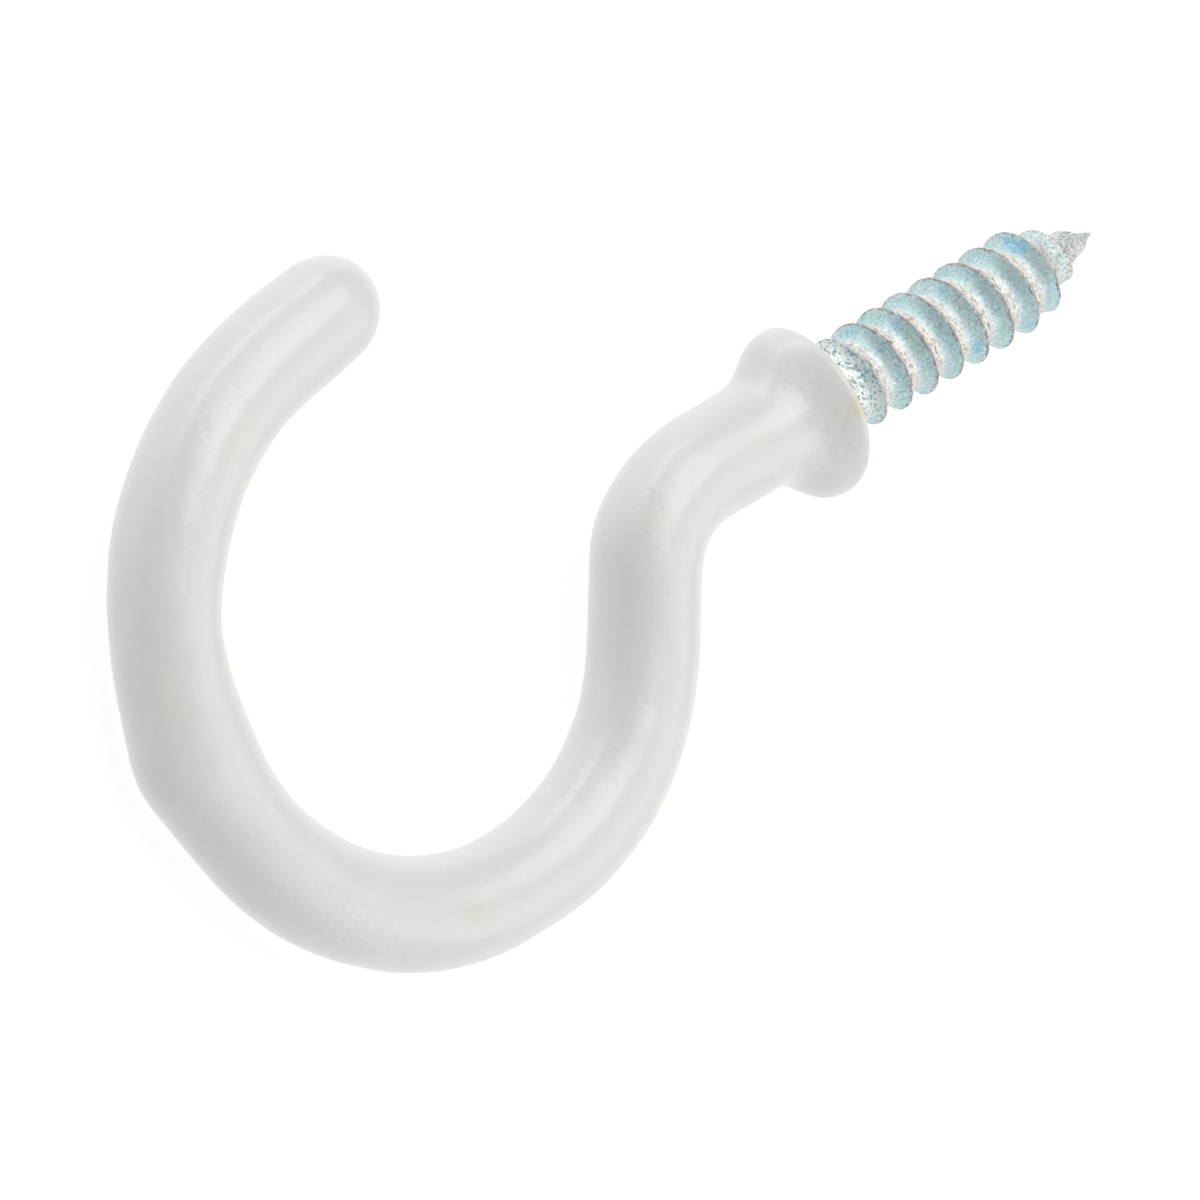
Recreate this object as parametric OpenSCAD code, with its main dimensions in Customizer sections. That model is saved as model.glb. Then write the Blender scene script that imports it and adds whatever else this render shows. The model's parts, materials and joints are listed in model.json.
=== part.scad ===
// Shouldered screw hook: one bent steel wire with an upset collar and a rolled wood-screw
// thread, and a dipped plastic coat on everything but the thread.
//
// The hook is drawn in its own plane, with the seat of the collar at the origin, the screw
// along +X and the wire running back along -X into the hook. At the end it is laid on its
// side as it rests on a table: on the collar's rim and on the back of the hook.

/* [Wire and coat] */
// Diameter of the steel wire
wire_d = 3; // [2.6:0.1:3.6]
// Thickness of the plastic coat
coat_t = 0.3; // [0.2:0.05:0.38]

/* [Hook] */
// Straight neck, from the seat to the first bend
neck_l = 4.9; // [3.5:0.1:9]
// Radius of the neck bend, at the middle of the wire
neck_bend_r = 3.8; // [2.6:0.1:6]
// Angle of the neck bend
neck_bend = 61.7; // [45:0.1:80]
// Straight between the neck bend and the eye
throat_l = 2.3; // [0.5:0.1:6]
// Radius of the eye on the neck's side, at the middle of the wire
eye_r = 8.65; // [6:0.05:14]
// Angle that the neck's side of the eye turns through
eye_turn = 126.2; // [100:0.1:150]
// Radius of the eye on the tip's side, at the middle of the wire
tip_r = 9.8; // [7:0.1:14]
// Angle that the tip's side of the eye turns through
tip_turn = 105.8; // [60:0.1:115]
// Straight end of the wire, up to its rounded tip
tip_l = 2.2; // [0.5:0.1:5]

/* [Collar] */
// Width of the coated collar, in the hook's plane
collar_d = 5.9; // [5.4:0.1:9]
// Height of the coated collar, across the hook's plane
collar_h = 5.5; // [5:0.1:9]
// Rounding of the collar's rim on the screw's side
front_round = 0.4; // [0.2:0.05:0.5]
// Rounding of the collar's rim on the hook's side
back_round = 1.3; // [1:0.1:1.5]
// Width of the rim between its two roundings
rim_w = 0.15; // [0.1:0.05:0.6]
// How far the collar sits off the wire's axis, away from the hook's mouth
collar_off = 0.15; // [0:0.01:0.2]
// Hollow of the collar's bell, where it sweeps down into the neck
neck_fillet = 1.6; // [1.2:0.1:2]
// Thickness of the coat on the seat
seat_coat = 0.45; // [0.4:0.05:0.5]
// Rounding of the coat's edge where the screw comes out
mouth_round = 0.37; // [0.32:0.01:0.38]

/* [Screw] */
// Length of the screw from the seat to its point
screw_l = 12.5; // [8:0.1:20]
// Diameter over the thread
thread_d = 3.5; // [3.2:0.1:3.7]
// Diameter at the root of the thread
root_d = 2.5; // [1.8:0.1:2.8]
// Pitch of the right-hand thread
pitch = 1.13; // [0.9:0.01:1.5]
// Width of the flat on the crest
crest_w = 0.08; // [0.02:0.02:0.2]
// Slope of the flank that faces the hook, from square to the axis
hook_flank = 34; // [20:1:40]
// Slope of the flank that faces the point, from square to the axis
point_flank = 27; // [15:1:35]
// Angle at which the thread starts round the shank
thread_turn = 308; // [0:1:359]
// Plain shank between the seat and the thread
plain_l = 0.3; // [0.2:0.05:1]
// Length over which the thread rises out of the shank
runout_l = 1.4; // [0.5:0.1:3]
// Length of the tapered point
point_l = 2.95; // [1.5:0.05:5]

/* [Lump in the coat] */
// Place of the lump, as an angle along the tip's side of the eye
lump_turn = 24; // [5:1:90]
// Length of the lump
lump_l = 4.4; // [3:0.1:6]
// Radius of the lump's long curve
lump_bow = 3.5; // [2.5:0.1:6]
// How much thicker than the coated wire the lump is, on the radius
lump_rise = 0.1; // [0.05:0.01:0.3]
// How far the lump sits towards the outside of the eye
lump_out = 0.24; // [0.1:0.01:0.4]
// How far the lump sits above the middle of the wire
lump_up = 0.12; // [0.1:0.01:0.3]

/* [Hidden] */
$fn = 64;

function polar(r, a) = r * [cos(a), sin(a)];
function arc(c, r, from, to, steps = 10) =
  [for (i = [0:steps]) c + polar(r, from + (to - from) * i / steps)];
function sum(v) = [for (i = v) 1] * v;

wire_r = wire_d / 2;
coat_r = wire_r + coat_t;
collar_r = collar_d / 2;
rim_h = collar_h / 2;
thread_r = thread_d / 2;
root_r = root_d / 2;

// The middle line of the wire, from the neck to the tip
neck_bend_c = [-neck_l, -neck_bend_r];
throat_a = 90 + neck_bend;
throat_start = neck_bend_c + polar(neck_bend_r, throat_a);
throat_end = throat_start + polar(throat_l, throat_a + 90);
eye_c = throat_end + polar(eye_r, throat_a);
eye_end_a = throat_a + 180 - eye_turn;
tip_c = eye_c + polar(eye_r - tip_r, eye_end_a);
tip_end_a = eye_end_a - tip_turn;
tip_start = tip_c + polar(tip_r, tip_end_a);
tip_end = tip_start + polar(tip_l, tip_end_a - 90);
lump_a = eye_end_a - lump_turn;
joint_step = 0.005;
joint_lap = 0.02;
tip_lap = joint_lap / tip_r * 180 / PI;

// Outline of the collar round its own axis: the seat and the rim, then the back down to the
// neck, where the fillet sinks into the wire. [radius, place on the axis]. The same two arcs
// make the back of the coat and, set in by its thickness, of the steel. The coat's front is
// turned joint_lap too long and cut off flat at the seat.
fillet_sink = 0.03;
rim_x = -front_round - rim_w;
back_c = [collar_r - back_round, rim_x];
fillet_dr = coat_r - collar_off - fillet_sink + neck_fillet - back_c[0];
fillet_c = back_c + [fillet_dr, -sqrt((back_round + neck_fillet) ^ 2 - fillet_dr ^ 2)];
back_a = atan2(fillet_c[1] - back_c[1], fillet_dr);
function collar_back(inset) = concat(
  arc(back_c, back_round - inset, 0, back_a),
  arc(fillet_c, neck_fillet + inset, back_a + 180, 180),
  [[0, fillet_c[1]]]
);
coat_front = concat(
  [[0, joint_lap]],
  arc([collar_r - front_round, joint_lap - front_round], front_round, 90, 0, 6)
);
steel_front = [[0, -seat_coat], [collar_r - coat_t, -seat_coat]];

// Outline of the flared mouth that is cut round the screw
mouth_outline = concat(
  [[0, 2 * joint_lap], [0, -mouth_round]],
  arc([wire_r + mouth_round, -mouth_round], mouth_round, 180, 90, 6),
  [[wire_r + mouth_round, 2 * joint_lap]]
);

// How the hook rests: the line from the rim through the balance point meets the back of the
// eye at rest_p, and the hook leans that way until the rim and the wire touch the table.
step = 0.3;
function arc_steps(r, turn) = round(r * turn * PI / 180 / step);
route = concat(
  [for (x = [screw_l - point_l / 2:-step:-neck_l]) [x, 0]],
  arc(neck_bend_c, neck_bend_r, 90, throat_a, arc_steps(neck_bend_r, neck_bend)),
  [for (i = [step:step:throat_l]) throat_start + polar(i, throat_a + 90)],
  arc(eye_c, eye_r, throat_a + 180, eye_end_a, arc_steps(eye_r, eye_turn)),
  arc(tip_c, tip_r, eye_end_a, tip_end_a, arc_steps(tip_r, tip_turn)),
  [for (i = [step:step:tip_l]) tip_start + polar(i, tip_end_a - 90)]
);
balance = sum(route) / len(route);
rim_p = [rim_x, -collar_off];
to_balance = (balance - rim_p) / norm(balance - rim_p);
from_tip_c = rim_p - tip_c;
rest_reach = -to_balance * from_tip_c
  + sqrt((to_balance * from_tip_c) ^ 2 - from_tip_c * from_tip_c + tip_r ^ 2);
rest_p = rim_p + rest_reach * to_balance;
lean = (rest_p - tip_c) / tip_r;
rest_span = lean * (rest_p - rim_p);
rest_tilt = atan2(rim_h, rest_span) - asin(coat_r / norm([rest_span, rim_h]));
floor_h = rim_h * cos(rest_tilt) + sin(rest_tilt) * (lean * rim_p);

// The middle of the resting hook, seen from above
function rest_xy(p) = p - (1 - cos(rest_tilt)) * (lean * p) * lean;
seen = [for (p = route) rest_xy(p)];
lump_p = rest_xy(tip_c + polar(tip_r + lump_out, lump_a));
low = [lump_p[0] - coat_r - lump_rise, min([for (p = seen) p[1]]) - coat_r];
high = [rest_xy([screw_l, 0])[0], rest_xy(tip_end)[1] + coat_r];
middle = (low + high) / 2;

// Thread: one ring of points every turn_steps-th of a pitch, so that the crest runs through them
turn_steps = 16;
ring_gap = pitch / turn_steps;
thread_x = plain_l - 0.1;
rings = floor((screw_l - thread_x) / ring_gap) - 1;
shank_r = wire_r * 0.99;
function eased(t) = let(s = min(1, max(0, t))) s * s * (3 - 2 * s);
function taper(x) = 1 - (1 - min(1, (screw_l - x) / point_l)) ^ 1.1;
function from_crest(x, a) = let(t = x / pitch - (a - thread_turn) / 360) (t - round(t)) * pitch;
function cut(d) = max(0, abs(d) - crest_w / 2) / tan(d < 0 ? hook_flank : point_flank);
function thread_form(x, a) = max(root_r, thread_r - cut(from_crest(x, a))) * taper(x);
function thread_at(x, a) =
  shank_r + (thread_form(x, a) - shank_r) * eased((x - plain_l) / runout_l);

module along_x() {
  rotate([0, 90, 0]) children();
}

module straight(p, a, length, r) {
  translate(p) rotate([0, 0, a]) along_x() cylinder(h = length, r = r);
}

module bend(c, bend_r, from, turn, r) {
  translate(c) rotate([0, 0, from]) rotate_extrude(angle = turn) translate([bend_r, 0]) circle(r = r);
}

// Straight end of the wire with its half-round tip
module tip(r) {
  translate(tip_start) rotate([0, 0, tip_end_a - 90]) along_x() rotate_extrude() {
    square([r, tip_l]);
    translate([0, tip_l]) intersection() {
      circle(r = r);
      square(r);
    }
  }
}

// The wire with radius r, from end_x on the screw's axis to its rounded tip. Every second
// piece is thinner by joint_step and runs into its neighbours by joint_lap.
module wire(r, end_x) {
  thin_r = r - joint_step;
  straight([-neck_l - joint_lap, 0], 0, neck_l + joint_lap + end_x, thin_r);
  bend(neck_bend_c, neck_bend_r, 90, neck_bend, r);
  straight(throat_start - polar(joint_lap, throat_a + 90), throat_a + 90, throat_l + 2 * joint_lap, thin_r);
  bend(eye_c, eye_r, eye_end_a, eye_turn, r);
  bend(tip_c, tip_r, tip_end_a - tip_lap, tip_turn + 2 * tip_lap, thin_r);
  tip(r);
}

module turned(outline) {
  along_x() rotate_extrude() polygon(outline);
}

// Barrel-shaped thick spot where the coat pooled on the outside of the eye
module lump() {
  half = lump_l / 2;
  side = [for (x = [-half:lump_l / 12:half]) [coat_r + lump_rise - x ^ 2 / (2 * lump_bow), x]];
  translate(concat(tip_c + polar(tip_r + lump_out, lump_a), lump_up))
    rotate([0, 0, lump_a - 90])
      turned(concat([[0, -half]], side, [[0, half]]));
}

module thread() {
  points = concat(
    [for (j = [0:rings], i = [0:turn_steps - 1])
      let(x = thread_x + j * ring_gap, a = 360 * i / turn_steps, r = thread_at(x, a))
      [x, r * cos(a), r * sin(a)]],
    [[thread_x, 0, 0], [screw_l, 0, 0]]
  );
  start = len(points) - 2;
  point = len(points) - 1;
  last = rings * turn_steps;
  faces = concat(
    [for (j = [0:rings - 1], i = [0:turn_steps - 1])
      let(next = (i + 1) % turn_steps, here = j * turn_steps, on = here + turn_steps)
      each [[here + i, on + i, on + next], [here + i, on + next, here + next]]],
    [for (i = [0:turn_steps - 1]) [start, i, (i + 1) % turn_steps]],
    [for (i = [0:turn_steps - 1]) [point, last + (i + 1) % turn_steps, last + i]]
  );
  polyhedron(points, faces);
}

module at_rest() {
  translate([-middle[0], -middle[1], floor_h])
    rotate(a = rest_tilt, v = [-lean[1], lean[0], 0])
      children();
}

module collar(front, inset) {
  translate([0, -collar_off]) scale([1, 1, rim_h / collar_r])
    turned(concat(front, collar_back(inset)));
}

// What stands in front of the seat
module beyond_seat() {
  translate([0, -collar_d, -collar_d]) cube([3 * joint_lap, 2 * collar_d, 2 * collar_d]);
}

// Everything of the hook's steel but its thread
module steel_body() {
  wire(wire_r, plain_l);
  collar(steel_front, coat_t);
}

module steel_hook() {
  color([0.62, 0.75, 0.79]) at_rest() {
    steel_body();
    thread();
  }
}

module plastic_coat() {
  color([0.92, 0.92, 0.9]) at_rest() difference() {
    union() {
      wire(coat_r, -seat_coat);
      collar(coat_front, 0);
      lump();
    }
    steel_body();
    turned(mouth_outline);
    beyond_seat();
  }
}

steel_hook();
plastic_coat();
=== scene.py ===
# %% [markdown]
# # Shouldered screw hook, dipped in plastic
#
# A screw hook is one piece of steel wire. One end is rolled into a wood-screw thread, a
# collar is squeezed up where the thread stops, the rest is bent into a hook, and all but
# the thread is dipped in soft plastic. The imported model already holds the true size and
# place of both parts. So the lesson loads it first, and works out every point from it.

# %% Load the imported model
import json

import bmesh
import bpy
import numpy as np
from mathutils import Matrix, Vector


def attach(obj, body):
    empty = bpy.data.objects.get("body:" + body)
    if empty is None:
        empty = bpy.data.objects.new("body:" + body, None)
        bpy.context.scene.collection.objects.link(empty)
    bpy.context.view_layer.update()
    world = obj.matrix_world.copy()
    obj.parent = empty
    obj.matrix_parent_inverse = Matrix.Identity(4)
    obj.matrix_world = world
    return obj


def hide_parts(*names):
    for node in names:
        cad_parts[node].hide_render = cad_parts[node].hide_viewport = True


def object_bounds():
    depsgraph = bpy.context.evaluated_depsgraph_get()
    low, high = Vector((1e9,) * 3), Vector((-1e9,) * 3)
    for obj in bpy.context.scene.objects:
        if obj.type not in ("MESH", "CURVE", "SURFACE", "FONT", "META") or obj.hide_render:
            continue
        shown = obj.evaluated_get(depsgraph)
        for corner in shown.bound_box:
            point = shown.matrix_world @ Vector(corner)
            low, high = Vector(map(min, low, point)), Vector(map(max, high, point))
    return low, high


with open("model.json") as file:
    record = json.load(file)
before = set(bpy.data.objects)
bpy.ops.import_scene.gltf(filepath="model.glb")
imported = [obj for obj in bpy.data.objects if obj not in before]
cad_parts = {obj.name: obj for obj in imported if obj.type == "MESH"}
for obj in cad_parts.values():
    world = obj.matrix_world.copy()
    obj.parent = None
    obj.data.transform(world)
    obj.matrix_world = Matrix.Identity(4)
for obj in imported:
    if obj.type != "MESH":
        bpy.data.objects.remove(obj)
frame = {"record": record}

cad_box = [list(corner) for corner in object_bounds()]
print("packed model, mm:", (np.array(cad_box) * 1000).round(2).tolist())

# %% [markdown]
# ## The hook's own plane
#
# A bent wire is easiest to draw flat: the seat of the collar at the origin, the screw along
# +X, the wire running back along -X, and the tip of the hook towards +Y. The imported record
# says where the seat is and which way the screw and the eye face. That is all it takes to
# lay such a drawing where the real hook rests, leaning a little on its collar.

# %% From the hook's plane to the table
MM = 0.001
mounts = {mount["name"]: mount for mount in frame["record"]["mounts"]}
seat_at = np.array(mounts["seat"]["pos_m"])
screw_way = np.array(mounts["seat"]["axis"])
eye_way = np.array(mounts["eye"]["axis"])
hook_axes = np.array([screw_way, np.cross(eye_way, screw_way), eye_way])


def on_table(drawn):
    """Points drawn in mm in the hook's plane, as metres on the table: the seat's place plus
    each coordinate times its own axis."""
    return seat_at + MM * drawn @ hook_axes


print("screw points along", screw_way.round(3), "and leans by",
      round(float(np.degrees(np.arcsin(screw_way[2]))), 2), "degrees")

# %% [markdown]
# ## The middle line of the wire
#
# Bent wire is straights and arcs in turn, and one table of lengths and bend radii gives the
# whole line. A real bend doesn't start at once, because the wire springs back, so each
# change of bend is spread over a millimetre. The curvature is added up to get the heading,
# and the heading is added up to get the place, which is how a turtle draws.

# %% Middle line
WIRE_R = 1.5
COAT_T = 0.3
COAT_R = WIRE_R + COAT_T
# length and bend radius of each piece from the seat on, in mm; a left turn is positive
PIECES = (
    (4.9, None),       # neck
    (4.092, 3.8),      # bend of the neck
    (2.3, None),       # throat
    (19.052, -8.65),   # back of the eye
    (18.096, -9.8),    # front of the eye
    (2.2, None),       # straight tip
)
WIRE_L = sum(length for length, _ in PIECES)
BEND_EASE = 0.9
LINE_STEP = 0.01
SPARE_L = 3.0


def middle_line():
    """Distance from the seat, place and heading along the wire. The curvature is a sum of
    soft steps, one where each piece starts; heading and place are its running sums."""
    s = np.arange(0, WIRE_L + SPARE_L, LINE_STEP)
    curvature = np.zeros_like(s)
    start, before = 0.0, 0.0
    for length, radius in PIECES:
        bend = 1 / radius if radius else 0.0
        curvature += (bend - before) * (0.5 + 0.5 * np.tanh((s - start) * 2 / BEND_EASE))
        start, before = start + length, bend

    def added_up(rate):
        return np.concatenate([[0], np.cumsum((rate[1:] + rate[:-1]) / 2 * LINE_STEP)])

    heading = np.pi + added_up(curvature)
    return s, added_up(np.cos(heading)), added_up(np.sin(heading)), heading


line_s, line_x, line_y, line_heading = middle_line()


def along(s):
    """Place (x, y) and heading of the middle line at distance s; s below 0 is in the screw."""
    s = np.asarray(s, float)
    x = np.where(s < 0, -s, np.interp(s, line_s, line_x))
    return x, np.interp(s, line_s, line_y), np.interp(s, line_s, line_heading)


print("wire in the hook:", round(WIRE_L, 2), "mm, its end at",
      [round(float(v), 2) for v in along(WIRE_L)[:2]])

# %% [markdown]
# ## Rings round a line
#
# Spheres and cylinders could be added and pulled about by hand. Here every part is round
# something, so one recipe serves them all: a ring of points at each place along the line.
# Angle 0 is on the outside of the eye and 90 degrees is the upper side. Neighbouring rings
# are joined by quads, and points that land on each other are merged, which closes the seam
# of each ring and the pole at each end.

# %% Rings
AROUND = 96
angle = np.arange(AROUND) * 2 * np.pi / AROUND


def rings(s, radius, shift=0.0):
    """Points by rings: the middle line at distance s, plus radius times the cosine of the angle
    and shift outwards from the eye, plus radius times the sine of the angle upwards."""
    x, y, heading = (np.reshape(v, (-1, 1)) for v in along(s))
    out = radius * np.cos(angle) + np.reshape(shift, (-1, 1))
    return np.stack([x - out * np.sin(heading), y + out * np.cos(heading),
                     radius * np.sin(angle) + 0 * x], axis=2)


print("a ring of", AROUND, "points at the seat starts at",
      rings([0.0], COAT_R)[0, 0].round(2).tolist())

# %% Skins
MERGE_REACH = 2e-7             # metres


def grid_quads(rows, columns, first, wraps):
    """Corner numbers of the quads between neighbouring rows; wraps joins the last column to
    the first."""
    here = first + np.arange(rows * columns).reshape(rows, columns)
    beside = np.roll(here, -1, axis=1)
    if not wraps:
        here, beside = here[:, :-1], beside[:, :-1]
    return np.stack([here[:-1], beside[:-1], beside[1:], here[1:]], axis=2).reshape(-1, 4)


def skin(name, grids, marks):
    """One closed mesh from grids of (points in mm, wraps), with marks: a value at each point
    under each name, kept per corner so that a mark may jump where two edges meet."""
    firsts = np.cumsum([0] + [points.shape[0] * points.shape[1] for points, _ in grids])
    quads = np.concatenate([grid_quads(*points.shape[:2], first, wraps)
                            for (points, wraps), first in zip(grids, firsts)])
    mesh = bpy.data.meshes.new(name)
    drawn = np.concatenate([points.reshape(-1, 3) for points, _ in grids])
    mesh.from_pydata(on_table(drawn), [], quads.tolist())
    for label, values in marks.items():
        mark = mesh.attributes.new(label, "FLOAT", "CORNER")
        mark.data.foreach_set("value", np.asarray(values, np.float32)[quads].ravel())
    work = bmesh.new()
    work.from_mesh(mesh)
    bmesh.ops.remove_doubles(work, verts=work.verts, dist=MERGE_REACH)
    bmesh.ops.recalc_face_normals(work, faces=work.faces)
    volume = work.calc_volume(signed=True) / MM ** 3
    work.to_mesh(mesh)
    work.free()
    mesh.polygons.foreach_set("use_smooth", np.ones(len(mesh.polygons), bool))
    edge_of = np.zeros(len(mesh.loops), np.int32)
    mesh.loops.foreach_get("edge_index", edge_of)
    unclosed = int((np.bincount(edge_of) != 2).sum())
    piece = bpy.data.objects.new(name, mesh)
    bpy.context.scene.collection.objects.link(piece)
    print(f"{name}: {len(mesh.loops) - 2 * len(mesh.polygons)} triangles, {volume:.1f} mm3, "
          f"{unclosed} edges not closed")
    return piece


def eased(t):
    """0 to 1 with a soft start and a soft end: three times the square less twice the cube."""
    t = np.clip(t, 0, 1)
    return t * t * (3 - 2 * t)


print("a quarter of the way, eased:", eased(0.25))

# %% [markdown]
# ## The collar
#
# The collar stops the screw at the wall. It is squeezed up out of the wire between two
# dies, so it sits a little off the wire's axis, its back sweeps down into the neck like a
# bell, and it has two fuller ears, where the dies met, in the hook's plane. A bell curve is
# the formula with that look: flat over the rim, hollow at the foot, and gone without a
# trace. One bell is used for the ears and one for between them.

# %% Bell of the collar
RIM_OUT, RIM_UP = 2.94, 2.75
BELL_OUT = (0.3, 1.51, 3.1)    # where it starts to fall, how far it reaches, how square it is
BELL_UP = (0.0, 1.08, 1.8)
EARS = 4                       # power of the cosine: the higher, the narrower the ears
EDGE_OUT, EDGE_UP = 0.4, 0.26  # radii of the rounded front edge
RIM_SHIFT, SHIFT_FROM, SHIFT_L = 0.155, 0.4, 1.7
NECK_S = 3.6                   # where the bell has gone


def bell(s, rim, fall):
    """Half-width at distance s: the coat's radius, plus what the rim has over it times e to
    the power of minus (distance past the start over the reach) to the power of squareness."""
    start, reach, square = fall
    return COAT_R + (rim - COAT_R) * np.exp(-(np.clip(s - start, 0, None) / reach) ** square)


def edge_drop(s, radius):
    """How far the rounded front edge has dropped at distance s: a quarter of a circle."""
    left = np.clip(1 - s / radius, 0, 1)
    return radius * (1 - np.sqrt(1 - left * left))


def collar_shift(s):
    """Shift of the rings off the wire's axis, gone where the neck begins."""
    return RIM_SHIFT * (1 - eased((s - SHIFT_FROM) / SHIFT_L))


def collar_radius(s, edge_out=EDGE_OUT, edge_up=EDGE_UP):
    """Radius of the even coat, a row for each distance s: the radius between the ears, plus
    what the ears have over it times the cosine of the angle to the power of four."""
    s = np.reshape(s, (-1, 1))
    between = bell(s, RIM_UP, BELL_UP) - edge_drop(s, edge_up)
    ears = bell(s, RIM_OUT, BELL_OUT) - edge_drop(s, edge_out)
    return between + (ears - between) * np.cos(angle) ** EARS


print("collar, mm:", 2 * RIM_OUT, "by", 2 * RIM_UP)

# %% [markdown]
# ## How thick the plastic is
#
# The coat is made by dipping the hot wire in liquid plastic. It flows while it sets, so it
# is never quite even: thick where it pooled, above all in one lump on the outside of the
# eye, and thin where it ran off. A sculpted mesh could show that, but one function can too:
# a soft swelling or hollow for each place in a short list, plus a few slow waves.

# %% Swellings of the coat
# place along the wire, degrees round it, reach along, reach round, height
SWELLS = (
    (34.5, 8, 1.2, 70, 0.31),       # lump where the coat pooled
    (35.0, 180, 1.9, 70, 0.13),     # its other side
    (31.4, 0, 1.5, 60, -0.05),      # hollow just before it
    (38.3, 0, 1.4, 60, -0.06),      # hollows of the front
    (38.6, 180, 1.6, 60, -0.07),
    (41.8, 0, 2.4, 70, 0.06),       # fuller front, towards the tip
    (51.6, 0, 1.5, 200, -0.10),     # run-off at the tip
    (26.5, 0, 4.0, 70, 0.03),       # fuller bottom
    (20.5, 0, 1.6, 60, -0.11),      # hollow of the back
    (20.0, 180, 5.5, 80, 0.06),     # fuller inside of the back
    (8.0, 180, 1.0, 60, 0.09),      # neck's bend: gathered outside it, thin inside
    (7.0, 0, 1.2, 60, -0.05),
    (6.1, 112, 0.22, 7, -0.07),     # nick at the neck's bend
)
# wave length along the wire, lobes round it, phase, height
WAVES = ((7.3, 1, 0.3, 0.008), (4.1, 2, 1.9, 0.006), (2.6, 3, 4.0, 0.004), (1.7, 2, 2.2, 0.003))
UNDER_FROM = 0.5    # how far below the middle line the evening out starts, as a share


def swelling(s):
    """Height of the coat over its even thickness, a row for each s: a bell curve along the
    wire times one round it for each swelling, plus the waves, all of it eased away
    underneath, where the hook lies on the coat."""
    s = np.reshape(s, (-1, 1))
    height = np.zeros((len(s), AROUND))
    for place, side, reach, breadth, rise in SWELLS:
        away = (np.degrees(angle) - side + 180) % 360 - 180
        height += rise * np.exp(-((s - place) / reach) ** 2 - (away / breadth) ** 2)
    for length, lobes, phase, rise in WAVES:
        height += rise * np.sin(2 * np.pi * s / length + lobes * angle + phase)
    underneath = eased((-np.sin(angle) - UNDER_FROM) / (1 - UNDER_FROM))
    return height * (1 - underneath)


print("coat, mm: from", round(COAT_T + swelling(line_s).min(), 2), "to",
      round(COAT_T + swelling(line_s).max(), 2), "thick")

# %% [markdown]
# ## The coat as one closed skin
#
# The rings start in the pole of the rounded tip, run along the wire, over the bell and
# across the flat seat, turn in round the mouth where the screw comes out, and go back
# inside, a hair off the steel, to a second pole. That makes a true shell with a thickness,
# like the real coat, and not a paper-thin tube.

# %% Outside of the coat
RING_GAP = 0.16
CAP_RINGS, BELL_RINGS, EDGE_RINGS, SEAT_RINGS, MOUTH_RINGS = 30, 50, 20, 6, 12
SWELL_L = 2.4    # how far behind the rim's edge the swellings are at their full height
MOUTH_R = 0.37


def cap_rings():
    """Rings of a half-round end: how far past the end and how wide, as shares of its radius,
    the pole first."""
    turn = np.linspace(np.pi / 2, 0, CAP_RINGS + 1)
    return np.sin(turn), np.cos(turn)


def coat_outside():
    """Rings from the tip's pole to the front edge of the rim."""
    past, share = cap_rings()
    turn = np.linspace(np.pi / 2, 0, EDGE_RINGS)
    s = np.concatenate([
        WIRE_L + past * COAT_R,
        np.arange(WIRE_L - RING_GAP, NECK_S, -RING_GAP),
        np.linspace(NECK_S, EDGE_OUT, BELL_RINGS)[:-1],
        EDGE_OUT * (1 - np.cos(turn)),
    ])
    share = np.concatenate([share, np.ones(len(s) - len(share))])[:, None]
    swell = swelling(s) * eased((s[:, None] - EDGE_OUT) / SWELL_L)
    return rings(s, (collar_radius(s) + swell) * share, collar_shift(s))


def coat_front():
    """Rings across the flat seat, from the rim to the mouth, then in round the mouth."""
    inwards = np.linspace(0, 1, SEAT_RINGS + 1)[1:, None]
    wide = WIRE_R + MOUTH_R
    seat = rings(np.zeros(SEAT_RINGS), collar_radius(0.0) * (1 - inwards) + wide * inwards,
                 RIM_SHIFT * (1 - inwards))
    turn = np.radians(np.linspace(180, 270, MOUTH_RINGS)[1:])
    lip = rings(MOUTH_R * (1 + np.cos(turn)), (wide + MOUTH_R * np.sin(turn))[:, None])
    return np.concatenate([seat, lip])


outside = coat_outside()
front = coat_front()
print("rings outside:", len(outside), "and across the seat:", len(front))

# %% Inside of the coat, and its mark
SEAT_COAT = 0.45
TOUCH = 0.006
BARE_RINGS = 200
# place in the hook's plane, how far it reaches, and how strong it is
STAINS = (
    ((-0.15, -0.12, 2.66), 0.33, 1.0),
    ((-0.62, -0.34, 2.55), 0.30, 0.35),
    ((-19.8, -8.2, 1.8), 0.50, 0.4),
)


def under_coat(gap):
    """Rings just outside the steel that the coat covers, from the front of its collar to the
    tip's pole; gap is how far outside."""
    past, share = cap_rings()
    s = np.concatenate([
        SEAT_COAT - gap + np.linspace(0, 1, BARE_RINGS)[:-1] ** 2 * (WIRE_L - SEAT_COAT + gap),
        WIRE_L + past[::-1] * (WIRE_R + gap),
    ])
    share = np.concatenate([np.ones(BARE_RINGS - 1), share[::-1]])[:, None]
    even = collar_radius(s, EDGE_UP, EDGE_UP)
    return rings(s, (even - COAT_T + gap) * share, collar_shift(s))


coat_grid = np.concatenate([
    outside, front, rings([SEAT_COAT - TOUCH], WIRE_R + TOUCH), under_coat(TOUCH)])
stain = sum(strength * np.exp(-(np.linalg.norm(coat_grid - spot, axis=2) / reach) ** 2)
            for spot, reach, strength in STAINS)
coat = skin("plastic_coat_skin", [(coat_grid, True)], {"stain": stain.ravel()})

# %% [markdown]
# ## The form of the thread
#
# A wood-screw thread is rolled, not cut: the dies press the valleys and the metal rises
# into thin sharp crests. Going towards the point, each turn climbs a long hollow ramp, is
# narrow at the crest, and drops steeply. So its section is a curve of distance from the
# crest, and the larger of a ramp and the flank before it gives the valley between them.

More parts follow.
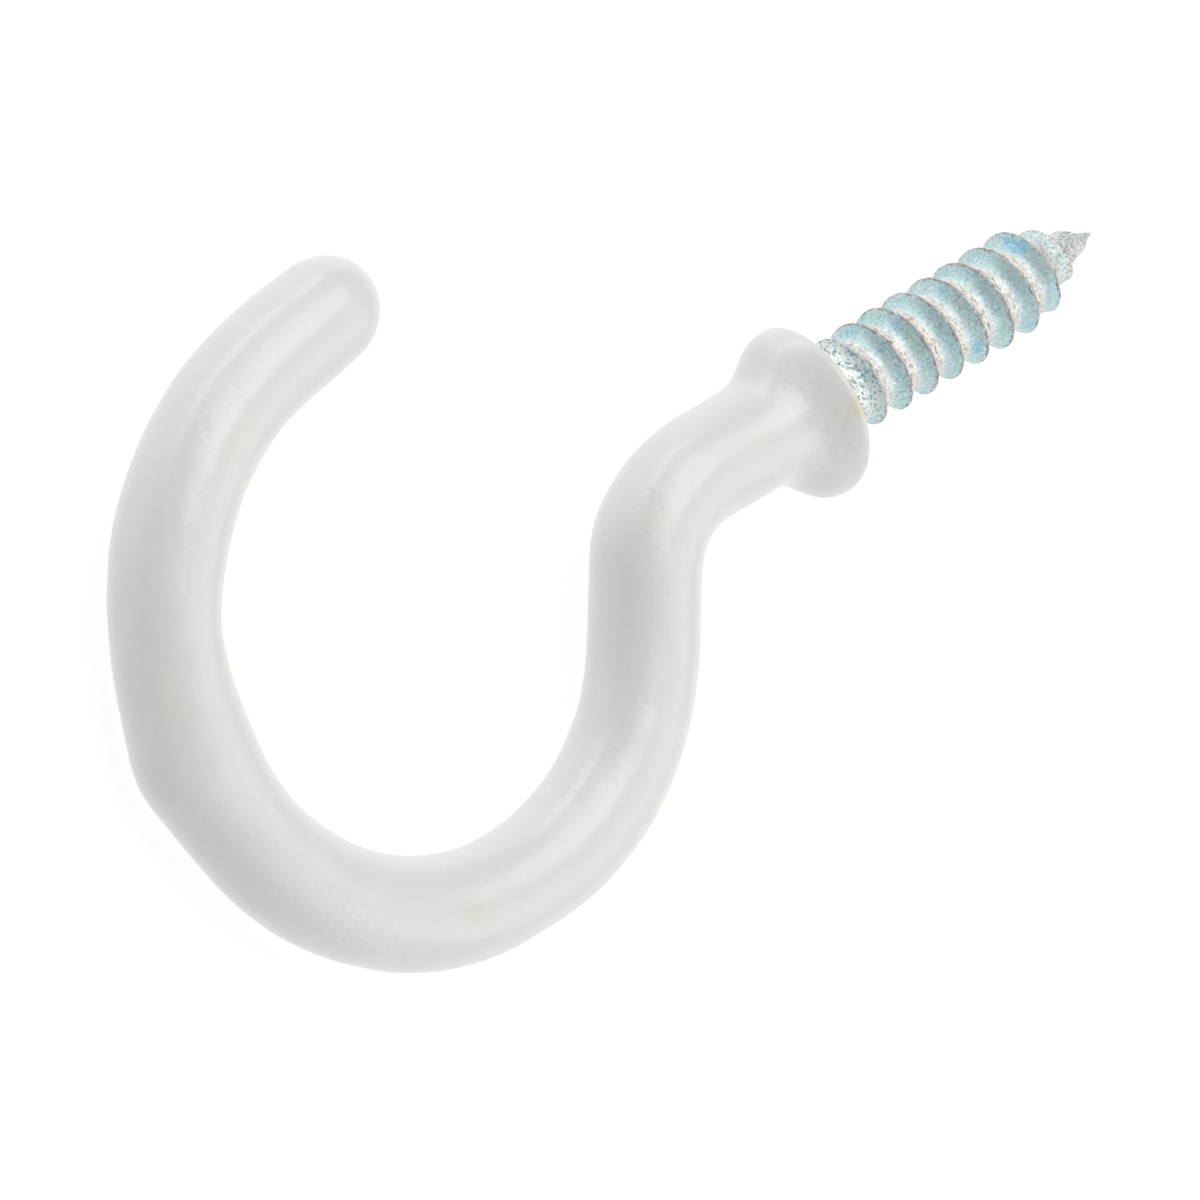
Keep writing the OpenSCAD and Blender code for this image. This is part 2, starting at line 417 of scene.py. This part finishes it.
# %% Thread form
SCREW_L = 12.5
THREAD_R, ROOT_R = 1.66, 1.25
PITCH = 1.13
CREST_W = 0.07
RAMP_L, FLANK_L = 0.80, 0.255
RAMP_LINE = 0.25               # share of the ramp that is straight
VALLEY_SOFT = 0.12             # share of the depth


def thread_form(d):
    """Share of the full depth at distance d towards the point from a crest. The ramp is a
    straight part plus the rest as a cube, the flank is straight, and the soft larger of the
    two is half of their sum plus half the root of the sum of their difference squared and
    the softness squared."""
    d = (d + RAMP_L + CREST_W / 2) % PITCH - RAMP_L - CREST_W / 2
    climb = np.clip(1 + (d + CREST_W / 2) / RAMP_L, 0, 1)
    ramp = np.where(d <= CREST_W / 2, RAMP_LINE * climb + (1 - RAMP_LINE) * climb ** 3, 0)
    flank = np.where(d > CREST_W / 2, np.clip(1 - (d - CREST_W / 2) / FLANK_L, 0, 1), 0)
    return (ramp + flank + np.sqrt((ramp - flank) ** 2 + VALLEY_SOFT ** 2)) / 2


print("thread:", round(SCREW_L / PITCH, 1), "turns,", THREAD_R - ROOT_R, "mm deep")

# %% [markdown]
# ## Grit
#
# Nothing rolled from soft wire is perfect. The crests waver a little, the first turn beside
# the collar is rough where the dies let go, and the point is nibbled. A grid of seeded
# random numbers laid round the screw, with soft steps from one to the next, gives lumps of
# any size, and gives the same ones each time.

# %% Grit
GRIT_ROOM = 20.0


def grit(x, turn, cell, seed):
    """Soft lumps about a cell across, from -1 to 1: four neighbouring numbers of the grid,
    mixed by eased distance along the screw and round it."""
    around = int(round(2 * np.pi * WIRE_R / cell))
    numbers = np.random.default_rng(seed).uniform(-1, 1, (int(GRIT_ROOM / cell), around))
    u, v = x / cell, (turn % 1) * around
    row, column = np.floor(u).astype(int), np.floor(v).astype(int)
    down, across = eased(u - row), eased(v - column)

    def at(i, j):
        return numbers[i % len(numbers), j % around]

    near = at(row, column) * (1 - across) + at(row, column + 1) * across
    far = at(row + 1, column) * (1 - across) + at(row + 1, column + 1) * across
    return near * (1 - down) + far * down


print("grit at three places:", grit(np.arange(3.0), np.zeros(3), 0.8, 3).round(2).tolist())

# %% Wear of the thread
X_START = -0.3                 # where the threaded strip starts, hidden in the coat
# height of the grit, how big its lumps are, and its seed
CREST_GRIT = (0.014, 0.8, 3)
FINE_GRIT = (0.004, 0.16, 5)
START_GRITS = ((0.040, 0.15, 7), (0.055, 0.34, 9))
POINT_GRIT = (0.030, 0.28, 11)
GRIT_L = 0.3                   # how far from the strip's start the grit is at its full height
ROUGH_TO, ROUGH_FADE = 0.9, 1.0
NIBBLE_FROM, NIBBLE_L = 10.2, 1.2
NIBBLE_R = 0.6                 # the nibbling dies away on a thinner point than this


def wear(x, turn, form, left, radius):
    """What the grit adds to the radius, where form is the thread's and left is what the
    point leaves of it: each kind's height times its lumps times where it is, which is on
    the crests, everywhere, beside the collar, and at the point."""

    def lumps(kind):
        height, cell, seed = kind
        return height * grit(x, turn, cell, seed)

    out = eased((x - X_START) / GRIT_L)
    rough = out * (1 - eased((x - ROUGH_TO) / ROUGH_FADE))
    nibbled = eased((x - NIBBLE_FROM) / NIBBLE_L) * np.clip(radius / NIBBLE_R, 0, 1)
    return (out * form * left * lumps(CREST_GRIT) + out * left * lumps(FINE_GRIT)
            + rough * sum(lumps(kind) for kind in START_GRITS) + nibbled * lumps(POINT_GRIT))


print("rough for", ROUGH_TO + ROUGH_FADE, "mm beside the collar, nibbled from", NIBBLE_FROM, "mm")

# %% [markdown]
# ## Winding the thread
#
# A thread could be a screw modifier on a small outline. One strip is simpler to shape: it
# is as wide as the pitch, it is wound round the axis, and the far edge of each turn meets
# the near edge of the next. Clipping its distance along the screw ends it in a clean ring
# beside the collar and in a single point at the tip. The form shrinks towards the point as
# a cone with slightly full sides, and grows out of the plain shank over the first turn.

# %% Columns of the strip
RAMP_COLUMNS, CREST_COLUMNS, FLANK_COLUMNS = 18, 4, 10
RAMP_CROWD = 1.3               # above 1, the ramp's columns crowd towards the crest


def strip_columns():
    """Distances from the crest across the strip, closest together at the crest."""
    ramp = -CREST_W / 2 - RAMP_L * (1 - np.linspace(0, 1, RAMP_COLUMNS)) ** RAMP_CROWD
    crest = np.linspace(-CREST_W / 2, CREST_W / 2, CREST_COLUMNS)[1:]
    flank = CREST_W / 2 + (PITCH - RAMP_L - CREST_W) * np.linspace(0, 1, FLANK_COLUMNS)[1:]
    return np.concatenate([ramp, crest, flank])


print("across the strip:", len(strip_columns()), "points")

# %% Threaded strip
TURNS_BEFORE, TURNS_AFTER = 1, 2
THREAD_TURN = 308              # where round the screw a crest passes the seat, in degrees
PLAIN_L, RUNOUT_L = 0.3, 1.4   # length without a thread, and over which it grows
SHANK_R, NARROW_R, NARROW_L = 1.485, 1.34, 0.6
POINT_L, POINT_FULL = 3.2, 0.93
AXIS_SHIFT, SHIFT_RUN = -0.04, 3.0
BENT_FROM, BENT_L, BENT_BY = 8.5, 3.0, 0.12


def thread_strip():
    """Points of the strip, its place across the thread from valley to valley, and its
    distance along the screw. The radius is the root plus depth times the form, narrowed to
    the point, eased out of the shank, plus the wear."""
    turn = np.arange(np.floor((X_START / PITCH - TURNS_BEFORE) * AROUND),
                     np.ceil((SCREW_L / PITCH + TURNS_AFTER) * AROUND))[:, None] / AROUND
    crest_x = (turn - THREAD_TURN / 360) * PITCH
    x = np.clip(crest_x + strip_columns(), X_START, SCREW_L)
    d = x - crest_x
    form = thread_form(d)
    left = np.clip((SCREW_L - x) / POINT_L, 0, 1) ** POINT_FULL
    full = (ROOT_R + (THREAD_R - ROOT_R) * form) * left
    grown = eased((x - PLAIN_L) / RUNOUT_L)
    plain = SHANK_R + (NARROW_R - SHANK_R) * eased((x - X_START) / NARROW_L)
    radius = plain + (full - plain) * grown
    radius = radius + wear(x, turn, form, left, radius)
    radius = np.where(x >= SCREW_L, 0, radius)
    y = AXIS_SHIFT * eased(x / SHIFT_RUN) + BENT_BY * eased((x - BENT_FROM) / BENT_L)
    a = 2 * np.pi * turn
    points = np.stack([x, y + radius * np.cos(a), radius * np.sin(a)], axis=2)
    across = (strip_columns() - strip_columns()[0]) / PITCH + 0 * x
    return points, across, x


strip, strip_across, strip_x = thread_strip()
print("strip:", strip.shape[0], "rows of", strip.shape[1], "points")

# %% [markdown]
# ## The steel
#
# The steel is the wire with its own smaller collar under the coat, then the shank, then the
# threaded strip, whose first rows lie on the shank's last ring. Two marks go with it for the
# finish: how far across the thread a point is, and how far along the screw.

# %% Steel
SHANK_S = 0.2    # place of the ring between the collar's front and the strip
covered = under_coat(0.0)[::-1]
shank = rings([SEAT_COAT, SHANK_S, -X_START], np.array([[WIRE_R], [WIRE_R], [SHANK_R]]))
bare_grid = np.concatenate([covered, shank])
bare_count = bare_grid.shape[0] * AROUND
steel = skin("steel_hook_skin", [(bare_grid, True), (strip, False)], {
    "thread_across": np.concatenate([np.zeros(bare_count), strip_across.ravel()]),
    "thread_along": np.concatenate([np.full(bare_count, X_START), strip_x.ravel()]),
})

# %% [markdown]
# ## Helpers for finishes
#
# A finish is a tree of nodes. One helper turns a colour code into the linear numbers that
# Blender works in, and one adds a node and fills or links its inputs. The rest are short
# names for what the finishes do often: sums, mixes, soft steps, noise and colour bands.

# %% Colours


def linear(code):
    """A colour code such as d8d6cf, as linear red, green, blue and alpha."""
    values = np.array([int(code[i:i + 2], 16) for i in (0, 2, 4)]) / 255
    return (*np.where(values <= 0.04045, values / 12.92, ((values + 0.055) / 1.055) ** 2.4), 1.0)


print("white with a little yellow, linear:", np.round(linear("dbd5a0")[:3], 2).tolist())

# %% Nodes


def add(tree, kind, inputs=(), **settings):
    """Adds a node; inputs are values or other nodes' outputs, by socket name or number."""
    made = tree.nodes.new(kind)
    for name, value in settings.items():
        setattr(made, name, value)
    for name, value in dict(inputs).items():
        if isinstance(value, bpy.types.NodeSocket):
            tree.links.new(value, made.inputs[name])
        else:
            made.inputs[name].default_value = value
    return made


def math(tree, operation, *values):
    """A Math node's output."""
    return add(tree, "ShaderNodeMath", enumerate(values), operation=operation).outputs[0]


def times(tree, first, second):
    """One value times another."""
    return math(tree, "MULTIPLY", first, second)


def mixed(tree, share, first, second):
    """One colour to another by a share."""
    return add(tree, "ShaderNodeMix", {"Factor": share, 6: first, 7: second},
               data_type="RGBA").outputs[2]


print("helpers:", ", ".join(helper.__name__ for helper in (add, math, times, mixed)))

# %% Patterns and bands


def stepped(tree, value, low, high):
    """0 where the value is at low, 1 where it is at high, soft between them."""
    return add(tree, "ShaderNodeMapRange", {"Value": value, "From Min": low, "From Max": high},
               interpolation_type="SMOOTHSTEP").outputs["Result"]


def noise(tree, place, size, detail=2.0):
    """Cloudy pattern with lumps about size mm across."""
    return add(tree, "ShaderNodeTexNoise", {
        "Vector": place, "Scale": 1 / (size * MM), "Detail": detail}).outputs["Fac"]


def attribute(tree, label):
    """A mark that a skin carries."""
    return add(tree, "ShaderNodeAttribute", attribute_name=label).outputs["Fac"]


def colour_band(tree, value, stops):
    """A Color Ramp's output, from pairs of a place on the band, 0 to 1, and a colour code."""
    ramp = add(tree, "ShaderNodeValToRGB", {"Fac": value})
    marks = ramp.color_ramp.elements
    while len(marks) < len(stops):
        marks.new(0.5)
    for mark, (place, code) in zip(marks, stops):
        mark.position, mark.color = place, linear(code)
    return ramp.outputs["Color"]


print("helpers:", ", ".join(helper.__name__ for helper in (
    stepped, noise, attribute, colour_band)))

# %% Starting and ending a finish


def new_finish(name):
    """A new, empty material and its tree."""
    made = bpy.data.materials.new(name)
    made.use_nodes = True
    made.node_tree.nodes.clear()
    return made, made.node_tree


def put_on(finish, shader, skinned):
    """Ends a finish in its shader and puts it on a piece."""
    tree = finish.node_tree
    add(tree, "ShaderNodeOutputMaterial", {"Surface": shader.outputs["BSDF"]})
    skinned.data.materials.append(finish)
    print(finish.name, "on", skinned.name, "has", len(tree.nodes), "nodes")


print("helpers:", new_finish.__name__, "and", put_on.__name__)

# %% [markdown]
# ## Dipped plastic
#
# Soft PVC from a dip tank is off-white and glossy. It set against air, not a mould, so it
# has no grain, only a faint pebbling like the peel of an orange, which breaks the edges of
# its highlights. A little light goes into it, so it glows slightly in its shadows. The white
# varies a touch with its thickness, and it has yellowed in a few small spots, most of all
# beside the mouth where the screw comes out.

# %% Finish of the coat
CLOUDS, SPECKS, PEEL = 3.0, 0.25, 0.3    # how big the lumps of each pattern are, in mm
YELLOWED = 0.8                           # share of yellow in the middle of a stain
PEEL_DEPTH = 2e-5                        # metres

coat_finish, tree = new_finish("dipped_pvc")
place = add(tree, "ShaderNodeTexCoord").outputs["Object"]
white = mixed(tree, noise(tree, place, CLOUDS, 3.0), linear("e1e2dc"), linear("e1e0e2"))
stained = times(tree, attribute(tree, "stain"),
                stepped(tree, noise(tree, place, SPECKS), 0.25, 0.65))
colour = mixed(tree, times(tree, stained, YELLOWED), white, linear("dbd5a0"))
bump = add(tree, "ShaderNodeBump", {
    "Height": noise(tree, place, PEEL, 3.0), "Distance": PEEL_DEPTH, "Strength": 1.0})
shader = add(tree, "ShaderNodeBsdfPrincipled", {
    "Base Color": colour, "Roughness": 0.28, "IOR": 1.54, "Normal": bump.outputs["Normal"],
    "Subsurface Weight": 0.1, "Subsurface Scale": 0.5 * MM})
put_on(coat_finish, shader, coat)

# %% [markdown]
# ## Blue-white zinc plate
#
# The thread is zinc plated in a barrel, then dipped in a blue passivating bath. An even
# metal would look like chrome, and what makes a small plated screw look real is what isn't
# even. So the finish starts with patterns: grains, small and large clouds, and streaks that
# follow the turns, which the valleys and the first turn carry as painted highlight and
# painted shade. The two marks of the steel lay the streaks out: across the thread, and on
# along its turns.

# %% Patterns on the plate
FINE, SMALL, LARGE, PATCH = 0.10, 0.22, 1.2, 1.0    # how big the lumps are, in mm
STREAK_W, STREAK_L = 0.09, 0.30

steel_finish, tree = new_finish("blue_zinc_plate")
place = add(tree, "ShaderNodeTexCoord").outputs["Object"]
fine = noise(tree, place, FINE)
small = noise(tree, place, SMALL)
large = noise(tree, place, LARGE)
patches = noise(tree, place, PATCH, 1.0)
across = attribute(tree, "thread_across")
screw_x = attribute(tree, "thread_along")
turn = math(tree, "SUBTRACT", math(tree, "DIVIDE", screw_x, PITCH), across)
turn_streak_place = add(tree, "ShaderNodeCombineXYZ", {
    "X": times(tree, across, PITCH / STREAK_W),
    "Y": times(tree, turn, 2 * np.pi * WIRE_R / STREAK_L)}).outputs["Vector"]
streaks = add(tree, "ShaderNodeTexNoise", {
    "Vector": turn_streak_place, "Scale": 1.0, "Detail": 2.0}).outputs["Fac"]
print("patterns, mm:", FINE, SMALL, LARGE, PATCH, "and streaks", STREAK_W, "by", STREAK_L)

# %% [markdown]
# ## The film
#
# The film of the bath is thinner than a wavelength of light, so it tints the metal
# blue-green on the broad ramps, in patches. A colour band laid across the thread from valley
# to valley holds it, and holds painted light too: a pale strip of painted highlight where
# each ramp rises out of the valley, and a dark brownish band of painted shade over each
# crest and the steep flank behind it. A little noise keeps its borders from being drawn
# with a ruler. Grains then darken it here and there, and white specks of painted glint go
# on top.

# %% Film
WAVER = 0.2         # how far noise moves the band's borders, as a share of the pitch
CLOUDED = 0.5
PAINTED_GLINT = 0.6

shifted = times(tree, math(tree, "SUBTRACT", small, 0.5), WAVER)
wavered = math(tree, "ADD", across, shifted)
# Painted light in this band: the pale stops from 0.10 to 0.29 are painted highlight beside the
# valley, and the dark brownish stops from 0.715 to 0.82 are painted shade over the crest and its
# flank.
film_and_painted_light = colour_band(tree, wavered, (
    (0.00, "d0c8c0"), (0.10, "e1dcd6"), (0.19, "e9eeed"), (0.29, "d9e9ea"), (0.42, "c6e1e5"),
    (0.58, "bfdfe4"), (0.68, "cbdfe1"), (0.715, "9b9694"), (0.76, "8b8481"), (0.82, "b5a89e"),
    (0.92, "d6cdc4")))
ramp = colour_band(tree, wavered, (
    (0.24, "000000"), (0.42, "ffffff"), (0.62, "ffffff"), (0.70, "000000")))
blued = mixed(tree, times(tree, ramp, stepped(tree, patches, 0.50, 0.72)),
              film_and_painted_light, linear("9cd4e5"))
greened = mixed(tree, times(tree, ramp, stepped(tree, patches, 0.50, 0.28)),
                blued, linear("bce0da"))
clouded = mixed(tree, times(tree, stepped(tree, large, 0.45, 0.65), CLOUDED),
                greened, linear("d3e4e5"))
grained = colour_band(tree, fine, ((0.30, "d8d8d8"), (0.44, "f4f4f4"), (0.58, "ffffff")))
dulled = add(tree, "ShaderNodeMix", {"Factor": 1.0, 6: clouded, 7: grained},
             data_type="RGBA", blend_type="MULTIPLY").outputs[2]
# Painted glints: white specks mixed into the colour where the fine grains and the streaks are
# high.
painted_glint_mask = times(tree, stepped(tree, fine, 0.56, 0.66), stepped(tree, streaks, 0.45, 0.6))
with_painted_glints = mixed(tree, times(tree, painted_glint_mask, PAINTED_GLINT), dulled, linear("ffffff"))
print("nodes so far:", len(tree.nodes))

# %% [markdown]
# ## Valleys, first turn and point
#
# Down in the valleys, bright and dark streaks are painted along the turns: the bright ones
# are painted highlight and the dark ones painted shade. The first turn is rough where the
# dies let go, so its film is broken up into blue and white specks, the white ones painted
# highlight and the darkest ones painted shade. At the point the film is worn through to
# grey metal. Each of the three has its own colour band and a mask that says where it is.

# %% Valleys, first turn and point
# Shares of the painted valley streaks, of the first turn's specks and of the point's grey.
PAINTED_STREAKS, MOTTLED, GREYED = 0.8, 0.85, 0.85
START_FADE = (2.1, 0.9)        # from where the first turn's specks are gone to where they rule
POINT_FADE = (9.4, 11.0)       # from where the grey sets in to where it rules

# Painted light in the valleys: the white streaks of this band are painted highlight and its dark
# ones painted shade.
painted_valley_streaks = colour_band(tree, streaks, (
    (0.30, "857b74"), (0.38, "b0a396"), (0.45, "d5ccc1"), (0.52, "faf6f0"), (0.59, "dcd6d3"),
    (0.68, "aab3b5")))
valley = times(tree, colour_band(tree, wavered, (
    (0.12, "ffffff"), (0.30, "000000"), (0.72, "000000"), (0.78, "ffffff"))), PAINTED_STREAKS)
with_painted_streaks = mixed(tree, valley, with_painted_glints, painted_valley_streaks)
rough_start = stepped(tree, screw_x, *START_FADE)
# First turn: broken film in specks; the white specks are painted highlight and the darkest ones
# painted shade.
mottle_and_painted_light = colour_band(tree, times(tree, math(tree, "ADD", small, streaks), 0.5), (
    (0.38, "566f74"), (0.42, "94bfc6"), (0.45, "cfe1e1"), (0.48, "ffffff"), (0.54, "f4f3ea"),
    (0.59, "98a5a1")))
started = mixed(tree, times(tree, rough_start, MOTTLED), with_painted_streaks, mottle_and_painted_light)
bare_point = stepped(tree, screw_x, *POINT_FADE)
grey = colour_band(tree, fine, (
    (0.30, "99958e"), (0.40, "bec1bb"), (0.50, "dadcd8"), (0.58, "fafaf6"), (0.68, "b2b7b3")))
speckled = mixed(tree, times(tree, bare_point, GREYED), started, grey)
print("nodes so far:", len(tree.nodes))

# %% [markdown]
# ## Relief and gloss
#
# Bumps about a tenth of a millimetre across make the plate glitter: hardly any on the
# ramps, more in the valleys, on the first turn and at the point. The film is a little milky
# and scatters part of the light, so the shader is only half metal, and it keeps the default
# IOR. Small clouds vary the roughness, so that no highlight has an even edge.

# %% Relief and gloss
RELIEF, LEAST_RELIEF = 0.8, 0.15
RELIEF_DEPTH = 4e-5            # metres
SMOOTHEST, ROUGHEST = 0.45, 0.62

rough = math(tree, "MAXIMUM", math(tree, "MAXIMUM", rough_start, bare_point), valley)
height = times(tree, fine, math(tree, "ADD", times(tree, rough, RELIEF), LEAST_RELIEF))
bump = add(tree, "ShaderNodeBump", {
    "Height": height, "Distance": RELIEF_DEPTH, "Strength": 1.0})
shader = add(tree, "ShaderNodeBsdfPrincipled", {
    "Base Color": speckled, "Metallic": 0.48, "Normal": bump.outputs["Normal"],
    "Roughness": add(tree, "ShaderNodeMapRange", {
        "Value": small, "To Min": SMOOTHEST, "To Max": ROUGHEST}).outputs["Result"]})
put_on(steel_finish, shader, steel)

# %% [markdown]
# ## Place in the model
#
# Each skin rides on the hook's one body and stands for its imported part.

# %% Place in the model
for piece, node, slot in ((coat, "plastic_coat", "coat"), (steel, "steel_hook", "steel")):
    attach(piece, "root")
    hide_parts(node)
    print(piece.name, "stands for", node)

# %% [markdown]
# ## Floor
#
# The hook lies on a wide sheet of milky plastic that is lit from below. The sheet glows pure
# white right up to the hook, so almost no shadow falls on it, and it throws light up under
# the hook, which such a pale thing needs. It reflects little of the lamps by itself.

# %% Floor
FLOOR_HALF = 1.5               # metres
SHEET_GREY, SHEET_GLOW = 0.2, 0.85
floor_mesh = bpy.data.meshes.new("floor")
floor_mesh.from_pydata([(-FLOOR_HALF, -FLOOR_HALF, 0), (FLOOR_HALF, -FLOOR_HALF, 0),
                        (FLOOR_HALF, FLOOR_HALF, 0), (-FLOOR_HALF, FLOOR_HALF, 0)],
                       [], [(0, 1, 2, 3)])
floor = bpy.data.objects.new("floor", floor_mesh)
bpy.context.scene.collection.objects.link(floor)
floor_finish, tree = new_finish("lit_opal_sheet")
shader = add(tree, "ShaderNodeBsdfPrincipled", {
    "Base Color": (SHEET_GREY, SHEET_GREY, SHEET_GREY, 1.0), "Roughness": 0.9,
    "Emission Color": linear("ffffff"), "Emission Strength": SHEET_GLOW})
put_on(floor_finish, shader, floor)

# %% [markdown]
# ## Camera
#
# A long lens from about a foot away looks down at the hook, so that its shape is hardly
# bent by perspective. Three angles say where the camera stands round the hook, how high,
# and how far it is rolled about its own line of sight, and two short slides frame the hook.

# %% Camera
AZIMUTH, ELEVATION, ROLL = -114.236, 54.326, -87.244    # degrees
SLIDE_RIGHT, SLIDE_UP, DISTANCE = -0.902, -3.849, 312.02    # mm, from the box's middle
LENS, SENSOR = 295.84, 36                               # mm


def camera_axes(azimuth, elevation, roll):
    """Right, up and back of a camera: back points from the hook to it, right is level before
    the roll, and the roll mixes right and up by its cosine and sine."""
    a, e, r = np.radians([azimuth, elevation, roll])
    back = np.array([np.sin(a) * np.cos(e), -np.cos(a) * np.cos(e), np.sin(e)])
    right = np.cross([0, 0, 1], back)
    right /= np.linalg.norm(right)
    up = np.cross(back, right)
    return np.array([np.cos(r) * right - np.sin(r) * up, np.sin(r) * right + np.cos(r) * up, back])


view_axes = camera_axes(AZIMUTH, ELEVATION, ROLL)
middle = np.mean(cad_box, axis=0)
camera_data = bpy.data.cameras.new("camera")
camera_data.lens, camera_data.sensor_width = LENS, SENSOR
camera_data.clip_start, camera_data.clip_end = 0.01, 10
camera = bpy.data.objects.new("camera", camera_data)
bpy.context.scene.collection.objects.link(camera)
placed = np.eye(4)
placed[:3, :3] = view_axes.T
placed[:3, 3] = middle + MM * np.array([SLIDE_RIGHT, SLIDE_UP, DISTANCE]) @ view_axes
camera.matrix_world = Matrix(placed)
bpy.context.scene.camera = camera
print("camera at", placed[:3, 3].round(4).tolist())

# %% [markdown]
# ## Light
#
# Small products are lit in a tent with a few lamps behind its cloth. The world is the tent:
# it glows below the camera's view and is dark above it, which gives the hook its soft
# shading. Disc lamps in front of it are the bright places. Four of them in a row are a strip
# lamp, which draws the long highlight on the wire, and a lamp with a wide glow on the cloth
# round it is two discs, one behind the other. Each lamp says where it shines from, seen by
# the camera, how wide it looks and how bright it is.

# %% Lamps
# right, up and back of the direction, degrees wide, brightness
LAMPS = (
    ("strip, lowest", (-0.50, 0.62, 0.60), 14, 2.53),
    ("strip, second", (-0.38, 0.80, 0.47), 14, 4.45),
    ("strip, third", (-0.22, 0.92, 0.32), 14, 5.5),
    ("strip, highest", (-0.03, 0.98, 0.18), 14, 4.25),
    ("over the hook", (0.15, 0.75, 0.65), 30, 1.85),
    ("top right", (0.62, 0.36, 0.70), 14, 2.53),
    ("top right cloth", (0.570, 0.475, 0.671), 45, 2.89),
    ("right", (0.96, -0.24, 0.125), 20, 1.95),
    ("right cloth", (0.96, -0.24, 0.125), 60, 1.08),
    ("low right", (0.70, -0.60, 0.40), 40, 0.99),
    ("foot", (0.42, -0.90, 0.08), 14, 1.79),
    ("low left", (-0.35, -0.55, 0.76), 40, 0.40),
)
LAMP_AWAY = 0.8                # metres


def lamp(name, toward, degrees, bright):
    """A disc lamp that faces the hook; its power is brightness times pi times its area."""
    data = bpy.data.lights.new(name, "AREA")
    data.shape = "DISK"
    data.size = 2 * LAMP_AWAY * np.tan(np.radians(degrees) / 2)
    data.energy = bright * np.pi * np.pi * (data.size / 2) ** 2
    back = np.array(toward) @ view_axes
    back /= np.linalg.norm(back)
    right = np.cross([0, 0, 1], back)
    right /= np.linalg.norm(right)
    placed = np.eye(4)
    placed[:3, :3] = np.array([right, np.cross(back, right), back]).T
    placed[:3, 3] = back * LAMP_AWAY
    made = bpy.data.objects.new(name, data)
    made.matrix_world = Matrix(placed)
    made.visible_camera = False
    bpy.context.scene.collection.objects.link(made)


for name, toward, degrees, bright in LAMPS:
    lamp(name, toward, degrees, bright)
print("lamps:", len(LAMPS))

# %% Tent
TENT_FOOT = 0.66               # its brightness straight below the camera's view

tent = bpy.data.worlds.new("tent")
tent.use_nodes = True
tree = tent.node_tree
tree.nodes.clear()
way = add(tree, "ShaderNodeTexCoord").outputs["Generated"]
downwards = add(tree, "ShaderNodeVectorMath", {0: way, 1: tuple(-view_axes[1])},
                operation="DOT_PRODUCT").outputs["Value"]
cloth = add(tree, "ShaderNodeBackground", {
    "Color": (1, 1, 1, 1),
    "Strength": times(tree, math(tree, "MAXIMUM", downwards, 0.0), TENT_FOOT)})
add(tree, "ShaderNodeOutputWorld", {"Surface": cloth.outputs[0]})
bpy.context.scene.world = tent
bpy.context.scene.view_settings.view_transform = "Standard"
print("world:", tent.name, "with", len(tree.nodes), "nodes")
